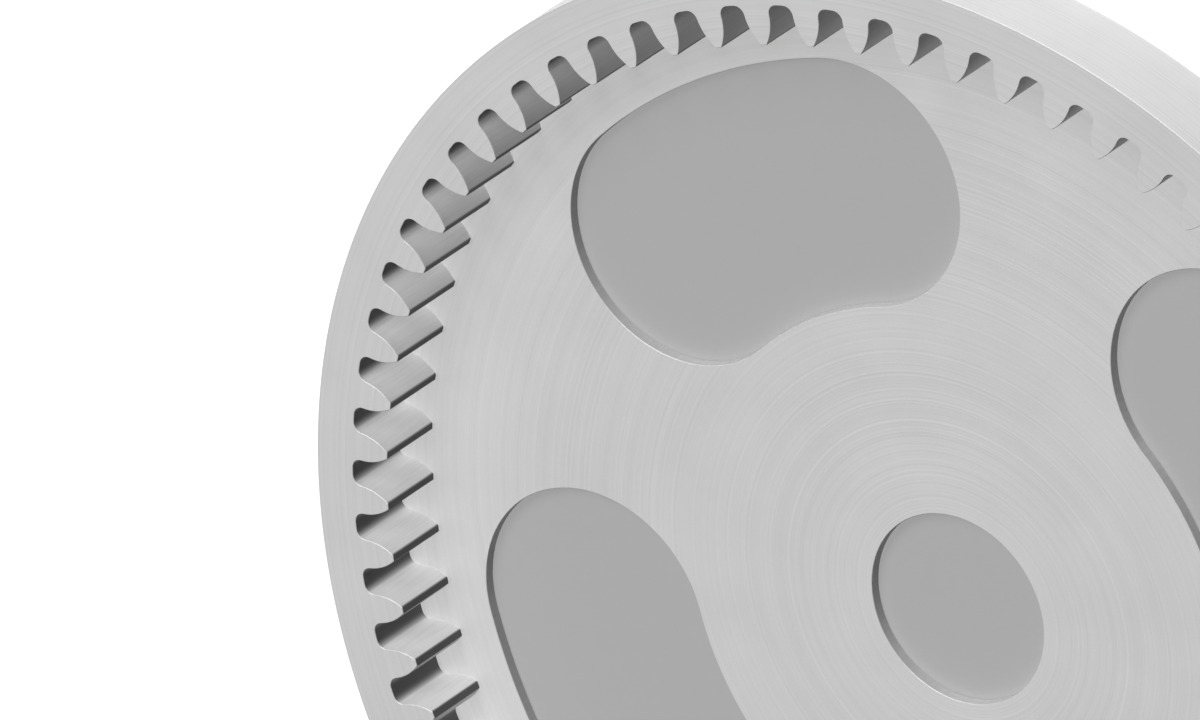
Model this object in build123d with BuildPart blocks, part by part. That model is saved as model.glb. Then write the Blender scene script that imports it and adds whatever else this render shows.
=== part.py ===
from build123d import *
import os
from math import cos, pi, sin

# Internal gear: a ring with teeth on its inside and a flat web across its back.
# Millimetres. Z runs along the gear's axis, the web's back face lies on Z = 0 and the
# teeth are open towards +Z. The X axis passes through the middle of a window and of a tooth.

# Teeth
module = 2.0
tooth_count = 70
addendum = 1.0 * module
dedendum = 1.25 * module
tip_land = 0.70          # width of a tooth at its tip
root_gap = 3.30          # width of a gap at its bottom, before the corners are rounded
flank_bow = 0.50         # how far a flank stands out beyond a straight line
root_rounding = 1.10     # radius of the two corners at the bottom of a gap
face_width = 8.5         # length of the teeth along the axis

# Ring and web
rim_thickness = 4.6      # metal outside the tooth gaps
web_thickness = 1.3
bore_diameter = 22.0

# Windows in the web: curved slots with round ends
window_count = 4
window_width = 28.4      # radial width of a window
window_margin = 4.9      # web between the windows and the circle of the tooth tips
window_sweep = 30.0      # degrees from the centre of one round end to that of the other

# Radii that follow from the teeth
pitch_radius = module * tooth_count / 2
tip_radius = pitch_radius - addendum
root_radius = pitch_radius + dedendum
outer_radius = root_radius + rim_thickness
window_centre_radius = tip_radius - window_margin - window_width / 2
tooth_pitch = 360 / tooth_count


def polar_point(radius, angle):
    """A point at this radius and angle in radians, on the sketch's plane."""
    return Vector(radius * cos(angle), radius * sin(angle))


# One gap between two teeth, lying across the X axis: both flanks bow into the gap, so
# each tooth is full at its middle and narrow at its tip
tip_corner = polar_point(tip_radius, pi / tooth_count - tip_land / 2 / tip_radius)
root_corner = polar_point(root_radius, root_gap / 2 / root_radius)
root_middle = Vector(root_radius, 0)
flank = root_corner - tip_corner
into_gap = Vector(flank.Y, -flank.X).normalized()
flank_middle = (tip_corner + root_corner) / 2 + into_gap * flank_bow

with BuildSketch() as tooth_gap:
    with BuildLine():
        ThreePointArc(tip_corner, flank_middle, root_corner)
        ThreePointArc(root_middle, polar_point(root_radius, root_gap / 4 / root_radius), root_corner)
        Line(tip_corner, Vector(tip_corner.X, 0))
        mirror(about=Plane.XZ)
    make_face()
    root_corners = tooth_gap.vertices().group_by(Axis.X)[-1]
    fillet(root_corners, radius=root_rounding)

with BuildPart() as internal_gear:
    # Web across the back
    with BuildSketch(Plane.XY):
        Circle(outer_radius)
        Circle(bore_diameter / 2, mode=Mode.SUBTRACT)
        with PolarLocations(0, window_count):
            SlotArc(
                CenterArc((0, 0), window_centre_radius, -window_sweep / 2, window_sweep),
                window_width,
                mode=Mode.SUBTRACT,
            )
    extrude(amount=web_thickness)

    # Toothed ring on the web
    with BuildSketch(Plane.XY.offset(web_thickness)):
        Circle(outer_radius)
        Circle(tip_radius, mode=Mode.SUBTRACT)
        with PolarLocations(0, tooth_count, start_angle=tooth_pitch / 2):
            add(tooth_gap.sketch, mode=Mode.SUBTRACT)
    extrude(amount=face_width)

internal_gear.part.label = "internal_gear"
os.makedirs("parts", exist_ok=True)
export_step(internal_gear.part, "parts/internal_gear.step")
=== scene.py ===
from math import acos, atan2, cos, pi, radians, sin
import bpy
from mathutils import Matrix, Vector
from mathutils.geometry import tessellate_polygon

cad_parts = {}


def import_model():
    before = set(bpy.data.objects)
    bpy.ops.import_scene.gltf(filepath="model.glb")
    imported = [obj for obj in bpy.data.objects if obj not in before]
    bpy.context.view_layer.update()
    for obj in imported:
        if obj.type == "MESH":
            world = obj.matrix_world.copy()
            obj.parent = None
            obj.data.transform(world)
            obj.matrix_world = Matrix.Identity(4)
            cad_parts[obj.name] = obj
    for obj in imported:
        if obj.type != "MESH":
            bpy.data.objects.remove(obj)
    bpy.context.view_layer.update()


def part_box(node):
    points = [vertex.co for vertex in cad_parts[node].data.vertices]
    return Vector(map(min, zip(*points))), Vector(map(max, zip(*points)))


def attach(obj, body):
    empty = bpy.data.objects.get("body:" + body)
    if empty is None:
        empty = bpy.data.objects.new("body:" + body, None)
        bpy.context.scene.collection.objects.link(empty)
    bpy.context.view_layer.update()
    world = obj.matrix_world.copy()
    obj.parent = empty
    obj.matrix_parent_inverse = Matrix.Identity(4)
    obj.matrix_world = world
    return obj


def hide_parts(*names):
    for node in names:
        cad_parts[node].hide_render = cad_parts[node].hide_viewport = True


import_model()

# Sizes of the gear in metres, as the CAD model has them
MODULE = 0.002
TOOTH_COUNT = 70
ADDENDUM = 1.0 * MODULE
DEDENDUM = 1.25 * MODULE
TIP_LAND = 0.00070           # width of a tooth at its tip
ROOT_GAP = 0.00330           # width of a gap at its bottom, before the corners are rounded
FLANK_BOW = 0.00050          # how far a flank stands out beyond a straight line
ROOT_ROUNDING = 0.00110      # radius of the corners at the bottom of a gap
WEB_THICKNESS = 0.0013
BORE_RADIUS = 0.0110
WINDOW_COUNT = 4
WINDOW_WIDTH = 0.0284        # radial width of a window
WINDOW_MARGIN = 0.0049       # web between the windows and the circle of the tooth tips
WINDOW_SWEEP = radians(30)   # between the centres of a window's two round ends

# The small chamfer that breaks each machined edge, which the CAD model leaves out
EDGE_BREAK = 0.00005

low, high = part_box("internal_gear")
HEIGHT = high.z - low.z
OUTER_RADIUS = (high.x - low.x) / 2
PITCH_RADIUS = MODULE * TOOTH_COUNT / 2
TIP_RADIUS = PITCH_RADIUS - ADDENDUM
ROOT_RADIUS = PITCH_RADIUS + DEDENDUM
TOOTH_PITCH = 2 * pi / TOOTH_COUNT
WINDOW_RADIUS = TIP_RADIUS - WINDOW_MARGIN - WINDOW_WIDTH / 2

# Points on each stretch of an outline, and the angle at which two of its faces make an edge
FLANK_STEPS = 9
ROUNDING_STEPS = 6
ROOT_STEPS = 2
LAND_STEPS = 2
RIM_STEPS = 720
BORE_STEPS = 128
WINDOW_ARC_STEPS = 40
WINDOW_END_STEPS = 48
SHARP_ANGLE = radians(28)

# Finishes of the steel, as the mesh's material numbers, and how grey each is
FACES, TEETH, RIM, HOLES, EDGE = range(5)
METALLIC = 0.25              # low, because the photograph's tones are nearly matt
FACE_GREY = 0.56
# The teeth's grey is lighter than the faces', and the holes' and the edges' darker, as painted light and
# shade on one steel
TOOTH_GREY = 0.60
HOLE_GREY = 0.48
EDGE_GREY = 0.50
TIP_PAINTED_SHADE = 0.20             # painted shade: share of their grey that the lands of the teeth keep
TIP_REACH = 0.00005          # how far past the tip circle the lands' full painted shade goes
TIP_FADE = 0.00015           # over which radial length it then fades out
ROOT_PAINTED_SHADE = 0.16            # painted shade: share of their grey that the bottoms of the gaps keep
ROOT_FADE = 0.00045          # over which radial length the painted shade darkens a rounding towards the bottom
NOISE_LOW, NOISE_HIGH = 0.25, 0.75   # most values of a noise lie between these

# Studio
FLOOR_REACH = 6
FLOOR_GAP = 0.0001           # below the gear, so that the two surfaces do not coincide
FLOOR_WHITE = 0.80           # outside the gear
FLOOR_PAINTED_SHADE = 0.285           # painted shade under the gear, seen through its windows and bore
WHITE_GLOW = 0.20            # what the white floor adds for the eye, but not to the gear's light
# Under the gear the glow drops too, as part of the painted shade there
PAINTED_SHADE_GLOW = 0.06
LAMP_DIRECTION = (0.619, -0.190, 0.762)
LAMP_ANGLE = radians(37)     # how wide a lamp looks from the gear, which softens its shadows
KEY_ENERGY = 0.91            # the light that casts a shadow
FILL_ENERGY = 3.72           # the light that casts none, as the photograph's doesn't
WORLD_STRENGTH = 0.02

# Camera, which looks at a point of the gear's front
CAMERA_TARGET = (0.039624, 0.022770)
CAMERA_AZIMUTH = radians(10.646)
CAMERA_ELEVATION = radians(46.914)
CAMERA_ROLL = radians(-123.856)
CAMERA_DISTANCE = 3.19120
LENS = 900                   # in millimetres, as the sensor
SENSOR_WIDTH = 36
CLIP_START, CLIP_END = 0.1, 20


# Outlines: closed lists of points, anticlockwise

def polar(radius, angle):
    return Vector((radius * cos(angle), radius * sin(angle)))


def angle_of(point):
    return atan2(point.y, point.x)


def arc(centre, radius, start, end, steps):
    """Points along an arc, without its last one."""
    return [centre + polar(radius, start + (end - start) * i / steps) for i in range(steps)]


def circle(radius, steps):
    return arc(Vector((0, 0)), radius, 0, 2 * pi, steps)


def turned(points, angle):
    turn = Matrix.Rotation(angle, 2)
    return [turn @ point for point in points]


def offset(points, distance):
    """The outline moved to the right of its own direction, into the metal round a hole."""
    moved = []
    for before, point, after in zip(points[-1:] + points[:-1], points, points[1:] + points[:1]):
        inward = (point - before).normalized()
        outward = (after - point).normalized()
        normal = Vector((inward.y + outward.y, -inward.x - outward.x)).normalized()
        cosine = normal.dot(Vector((outward.y, -outward.x)))
        moved.append(point + normal * distance / cosine)
    return moved


def gap_side():
    """One side of a gap that lies across the X axis, from a tooth's tip to the gap's root."""
    tip = polar(TIP_RADIUS, TIP_LAND / 2 / TIP_RADIUS - TOOTH_PITCH / 2)
    root = polar(ROOT_RADIUS, -ROOT_GAP / 2 / ROOT_RADIUS)
    chord = root - tip
    into_gap = Vector((-chord.y, chord.x)).normalized()
    flank_radius = (chord.length_squared / 4 + FLANK_BOW**2) / 2 / FLANK_BOW
    flank_centre = (tip + root) / 2 + into_gap * (FLANK_BOW - flank_radius)
    # The rounding touches the flank from outside and the root circle from inside, so the
    # centres of the gear, the flank and the rounding make a triangle with known sides
    far, near, reach = flank_centre.length, ROOT_RADIUS - ROOT_ROUNDING, flank_radius + ROOT_ROUNDING
    swing = acos((far**2 + near**2 - reach**2) / (2 * far * near))
    centre = polar(near, angle_of(flank_centre) + swing)
    end_of_flank = angle_of(centre - flank_centre)
    flank = arc(flank_centre, flank_radius, angle_of(tip - flank_centre), end_of_flank, FLANK_STEPS)
    rounding = arc(centre, ROOT_ROUNDING, end_of_flank - pi, angle_of(centre), ROUNDING_STEPS)
    root_arc = arc(Vector((0, 0)), ROOT_RADIUS, angle_of(centre), 0, ROOT_STEPS)
    return flank + rounding + root_arc


def toothed_outline():
    side = gap_side()
    middle = Vector((ROOT_RADIUS, 0))
    other_side = [Vector((p.x, -p.y)) for p in reversed(side)]
    tip_angle = angle_of(other_side[-1])
    land = arc(Vector((0, 0)), TIP_RADIUS, tip_angle, TOOTH_PITCH - tip_angle, LAND_STEPS)
    gap = side + [middle] + other_side + land[1:]
    return [p for k in range(TOOTH_COUNT) for p in turned(gap, (k + 0.5) * TOOTH_PITCH)]


def window_outline(angle):
    half = WINDOW_SWEEP / 2
    hub, end_radius = Vector((0, 0)), WINDOW_WIDTH / 2
    outline = arc(hub, WINDOW_RADIUS + end_radius, -half, half, WINDOW_ARC_STEPS)
    outline += arc(polar(WINDOW_RADIUS, half), end_radius, half, half + pi, WINDOW_END_STEPS)
    outline += arc(hub, WINDOW_RADIUS - end_radius, half, -half, WINDOW_ARC_STEPS)
    outline += arc(polar(WINDOW_RADIUS, -half), end_radius, pi - half, 2 * pi - half, WINDOW_END_STEPS)
    return turned(outline, angle)


class Surface:
    """A closed surface, made of rings of points joined by walls and caps."""

    def __init__(self):
        self.points = []
        self.faces = []
        self.finishes = []

    def ring(self, outline, z):
        first = len(self.points)
        self.points += [(p.x, p.y, z) for p in outline]
        return range(first, len(self.points))

    def walls(self, levels, finishes):
        """Joins outlines at their heights, walking with the metal on the left."""
        rings = [self.ring(outline, z) for outline, z in levels]
        for a, b, finish in zip(rings, rings[1:], finishes):
            for i in range(len(a)):
                j = (i + 1) % len(a)
                self.faces.append((a[i], a[j], b[j], b[i]))
                self.finishes.append(finish)
        return rings[0], rings[-1]

    def cap(self, rings, up, finish):
        """Fills the flat face between an outer ring and the rings of its holes."""
        indices = [i for ring in rings for i in ring]
        triangles = tessellate_polygon([[Vector(self.points[i]) for i in ring] for ring in rings])
        for triangle in triangles:
            a, b, c = (indices[k] for k in triangle)
            pa, pb, pc = (Vector(self.points[i]) for i in (a, b, c))
            faces_up = (pb - pa).cross(pc - pa).z > 0
            self.faces.append((a, b, c) if faces_up == up else (a, c, b))
            self.finishes.append(finish)


def gear_mesh():
    surface = Surface()
    top, web = HEIGHT, WEB_THICKNESS
    rim = circle(OUTER_RADIUS, RIM_STEPS)
    narrow_rim = circle(OUTER_RADIUS - EDGE_BREAK, RIM_STEPS)
    teeth = toothed_outline()
    back_edge, front_edge = surface.walls(
        [(narrow_rim, 0), (rim, EDGE_BREAK), (rim, top - EDGE_BREAK), (narrow_rim, top)],
        (EDGE, RIM, EDGE),
    )
    tooth_edge, tooth_foot = surface.walls(
        [(offset(teeth, EDGE_BREAK), top), (teeth, top - EDGE_BREAK), (teeth, web)],
        (EDGE, TEETH),
    )
    holes = [window_outline(2 * pi * k / WINDOW_COUNT) for k in range(WINDOW_COUNT)]
    holes.append(circle(BORE_RADIUS, BORE_STEPS))
    fronts, backs = [], []
    for hole in holes:
        wide = offset(hole, EDGE_BREAK)
        front, back = surface.walls(
            [(wide, web), (hole, web - EDGE_BREAK), (hole, EDGE_BREAK), (wide, 0)],
            (EDGE, HOLES, EDGE),
        )
        fronts.append(front)
        backs.append(back)
    surface.cap([front_edge, tooth_edge], up=True, finish=FACES)
    surface.cap([tooth_foot] + fronts, up=True, finish=FACES)
    surface.cap([back_edge] + backs, up=False, finish=FACES)
    mesh = bpy.data.meshes.new("gear")
    mesh.from_pydata(surface.points, [], surface.faces)
    mesh.polygons.foreach_set("material_index", surface.finishes)
    mesh.shade_smooth()
    mesh.set_sharp_from_angle(angle=SHARP_ANGLE)
    return mesh


# Materials

class Finish:
    """A grey finish, of steel or of the floor: one Principled shader and the nodes that feed it."""

    def __init__(self, name, metallic):
        self.material = bpy.data.materials.new(name)
        self.material.use_nodes = True
        self.tree = self.material.node_tree
        self.shader = self.tree.nodes["Principled BSDF"]
        self.shader.inputs["Metallic"].default_value = metallic
        self.where = self.add("TexCoord", "Object")
        self.x, self.y, self.z = self.add("SeparateXYZ", None, self.where).outputs
        across = self.add("CombineXYZ", "Vector", self.x, self.y)
        self.radius = self.add("VectorMath", "Value", across, operation="LENGTH")

    def feed(self, socket, value):
        if isinstance(value, bpy.types.NodeSocket):
            self.tree.links.new(value, socket)
        else:
            socket.default_value = value

    def add(self, kind, output, *values, **settings):
        """A new node with its first inputs fed in order, and its other inputs or settings by name."""
        node = self.tree.nodes.new("ShaderNode" + kind)
        for name, value in settings.items():
            if name in node.bl_rna.properties:
                setattr(node, name, value)
        for name, value in settings.items():
            if name not in node.bl_rna.properties:
                self.feed(node.inputs[name], value)
        for socket, value in zip(node.inputs, values):
            self.feed(socket, value)
        return node.outputs[output] if output else node

    def math(self, operation, *values):
        return self.add("Math", "Value", *values, operation=operation)

    def noise(self, where, scale, detail):
        """Noise at a point in space."""
        return self.add("TexNoise", "Fac", Vector=where, Scale=scale, Detail=detail)

    def lines(self, along, spacing, detail):
        """Noise that changes along one length only, as the marks of a tool do."""
        return self.add("TexNoise", "Fac", noise_dimensions="1D", W=along, Scale=1 / spacing, Detail=detail)

    def spread(self, value, first, last, start=NOISE_LOW, end=NOISE_HIGH):
        """Goes from first to last while the value goes from start to end."""
        return self.add("MapRange", "Result", value, start, end, first, last)

    def about_one(self, pattern, share):
        """One, less or more by this share as the pattern goes up and down."""
        return self.spread(pattern, 1 - share, 1 + share)

    def drawn_out(self, squeeze):
        """The point in space with its height squeezed, which draws a pattern out along the axis."""
        return self.add("CombineXYZ", "Vector", self.x, self.y, self.math("MULTIPLY", self.z, squeeze))

    def product(self, *values):
        total = values[0]
        for value in values[1:]:
            total = self.math("MULTIPLY", total, value)
        return total

    def finish(self, tone, roughness, height, depth):
        """Feeds the shader: tone is the grey, height a pattern from 0 to 1 and depth its real depth."""
        self.feed(self.shader.inputs["Base Color"], self.add("CombineColor", "Color", tone, tone, tone))
        self.feed(self.shader.inputs["Roughness"], roughness)
        bump = self.add("Bump", "Normal", Height=height, Distance=depth)
        self.feed(self.shader.inputs["Normal"], bump)
        return self.material


def turned_faces():
    """Flat faces: fine rings left by a lathe, over a slightly cloudy satin grey."""
    steel = Finish("turned_faces", METALLIC)
    rings = steel.lines(steel.radius, spacing=0.00030, detail=2)
    bands = steel.lines(steel.radius, spacing=0.0016, detail=1)
    clouds = steel.noise(steel.where, scale=90, detail=3)
    grain = steel.noise(steel.where, scale=5200, detail=1)
    tone = steel.product(
        FACE_GREY,
        steel.about_one(rings, 0.035),
        steel.about_one(bands, 0.015),
        steel.about_one(clouds, 0.025),
        steel.about_one(grain, 0.015),
    )
    roughness = steel.math("ADD", steel.spread(clouds, -0.03, 0.03), steel.spread(rings, 0.70, 0.78))
    return steel.finish(tone, roughness, rings, depth=0.000010)


def cut_teeth():
    """Tooth gaps: straight streaks along the axis, a grey lighter than the faces' that is painted light,
    and painted shade that darkens the tips and the gap bottoms.
    """
    steel = Finish("cut_teeth", METALLIC)
    streaks = steel.noise(steel.drawn_out(squeeze=0.03), scale=5000, detail=2)
    clouds = steel.noise(steel.where, scale=160, detail=2)
    # Painted shade: the lands and the bottoms of the gaps darken by their radius
    fade_start = TIP_RADIUS + TIP_REACH
    tip = steel.spread(steel.radius, TIP_PAINTED_SHADE, 1, fade_start, fade_start + TIP_FADE)
    root = steel.spread(steel.radius, 1, ROOT_PAINTED_SHADE, ROOT_RADIUS - ROOT_FADE, ROOT_RADIUS)
    tone = steel.product(
        TOOTH_GREY,
        tip,
        root,
        steel.about_one(streaks, 0.07),
        steel.about_one(clouds, 0.04),
    )
    roughness = steel.spread(streaks, 0.64, 0.74)
    return steel.finish(tone, roughness, streaks, depth=0.000010)


def turned_rim():
    """Outer rim: rings left by a lathe, one above the other."""
    steel = Finish("turned_rim", METALLIC)
    rings = steel.lines(steel.z, spacing=0.00025, detail=2)
    clouds = steel.noise(steel.where, scale=110, detail=3)
    tone = steel.product(FACE_GREY, steel.about_one(rings, 0.06), steel.about_one(clouds, 0.03))
    roughness = steel.spread(rings, 0.68, 0.78)
    return steel.finish(tone, roughness, rings, depth=0.000012)


def milled_holes():
    """Walls of the windows and the bore: faint upright marks of the cutter, on a darker grey that is
    painted shade.
    """
    steel = Finish("milled_holes", METALLIC)
    marks = steel.noise(steel.drawn_out(squeeze=0.08), scale=2600, detail=2)
    clouds = steel.noise(steel.where, scale=150, detail=2)
    tone = steel.product(HOLE_GREY, steel.about_one(marks, 0.06), steel.about_one(clouds, 0.04))
    roughness = steel.spread(marks, 0.60, 0.70)
    return steel.finish(tone, roughness, marks, depth=0.000012)


def broken_edges():
    """The small chamfers, left by a deburring tool, in a darker grey that is painted shade."""
    steel = Finish("broken_edges", METALLIC)
    rub = steel.noise(steel.where, scale=900, detail=3)
    tone = steel.product(EDGE_GREY, steel.about_one(rub, 0.09))
    roughness = steel.spread(rub, 0.46, 0.60)
    return steel.finish(tone, roughness, rub, depth=0.000008)


def gear():
    """The whole gear. It takes the place of the CAD solid, with the same form."""
    piece = bpy.data.objects.new("gear", gear_mesh())
    bpy.context.scene.collection.objects.link(piece)
    for make in (turned_faces, cut_teeth, turned_rim, milled_holes, broken_edges):
        piece.data.materials.append(make())
    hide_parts("internal_gear")
    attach(piece, "root")


# Studio

def floor_material():
    """White outside the gear, and grey under it as painted shade."""
    sheet = Finish("floor", metallic=0)
    grain = sheet.noise(sheet.where, scale=400, detail=3)
    under_rim = (ROOT_RADIUS, OUTER_RADIUS - EDGE_BREAK)
    # Painted shade: the white outside the gear turns to grey under it, and the glow drops with it
    tone_with_painted_shade = sheet.spread(sheet.radius, FLOOR_PAINTED_SHADE, FLOOR_WHITE, *under_rim)
    glow = sheet.spread(sheet.radius, PAINTED_SHADE_GLOW, WHITE_GLOW, *under_rim)
    ray = sheet.add("LightPath", None).outputs
    seen = sheet.math("MAXIMUM", ray["Is Camera Ray"], ray["Is Glossy Ray"])
    seen = sheet.math("MAXIMUM", seen, ray["Is Transmission Ray"])
    sheet.shader.inputs["Emission Color"].default_value = (1, 1, 1, 1)
    sheet.feed(sheet.shader.inputs["Emission Strength"], sheet.product(seen, glow))
    tone = sheet.product(tone_with_painted_shade, sheet.about_one(grain, 0.005))
    return sheet.finish(tone, roughness=0.9, height=grain, depth=0.000010)


def floor():
    """Pale sheet under the gear, whose change to the painted shade under the gear lies hidden under the
    gear's rim.
    """
    mesh = bpy.data.meshes.new("floor")
    x = FLOOR_REACH
    mesh.from_pydata([(-x, -x, 0), (x, -x, 0), (x, x, 0), (-x, x, 0)], [], [(0, 1, 2, 3)])
    mesh.materials.append(floor_material())
    obj = bpy.data.objects.new("floor", mesh)
    obj.location.z = -FLOOR_GAP
    bpy.context.scene.collection.objects.link(obj)


def soft_lamp(name, energy, casts_shadow):
    """A lamp with parallel light, so that its place has no effect and only its direction counts."""
    light = bpy.data.lights.new(name, "SUN")
    light.angle = LAMP_ANGLE
    light.energy = energy
    light.use_shadow = casts_shadow
    obj = bpy.data.objects.new(name, light)
    obj.rotation_mode = "QUATERNION"
    obj.rotation_quaternion = Vector(LAMP_DIRECTION).to_track_quat("Z", "Y")
    obj.visible_camera = False
    bpy.context.scene.collection.objects.link(obj)


def world():
    sky = bpy.data.worlds.new("world")
    sky.use_nodes = True
    background = sky.node_tree.nodes["Background"]
    background.inputs["Color"].default_value = (1, 1, 1, 1)
    background.inputs["Strength"].default_value = WORLD_STRENGTH
    bpy.context.scene.world = sky


def camera():
    """The photograph's view: a long lens, nearly without perspective, rolled on its side."""
    data = bpy.data.cameras.new("camera")
    data.lens = LENS
    data.sensor_width = SENSOR_WIDTH
    data.clip_start = CLIP_START
    data.clip_end = CLIP_END
    obj = bpy.data.objects.new("camera", data)
    bpy.context.scene.collection.objects.link(obj)
    outward = cos(CAMERA_ELEVATION)
    back = Vector((
        sin(CAMERA_AZIMUTH) * outward,
        -cos(CAMERA_AZIMUTH) * outward,
        sin(CAMERA_ELEVATION),
    ))
    place = Vector((*CAMERA_TARGET, HEIGHT)) + back * CAMERA_DISTANCE
    level = back.to_track_quat("Z", "Y").to_matrix()
    turn = level @ Matrix.Rotation(CAMERA_ROLL, 3, "Z")
    obj.matrix_world = Matrix.Translation(place) @ turn.to_4x4()
    bpy.context.scene.camera = obj


gear()
floor()
soft_lamp("key", KEY_ENERGY, casts_shadow=True)
soft_lamp("fill", FILL_ENERGY, casts_shadow=False)
world()
camera()

bpy.context.scene.view_settings.view_transform = "Standard"
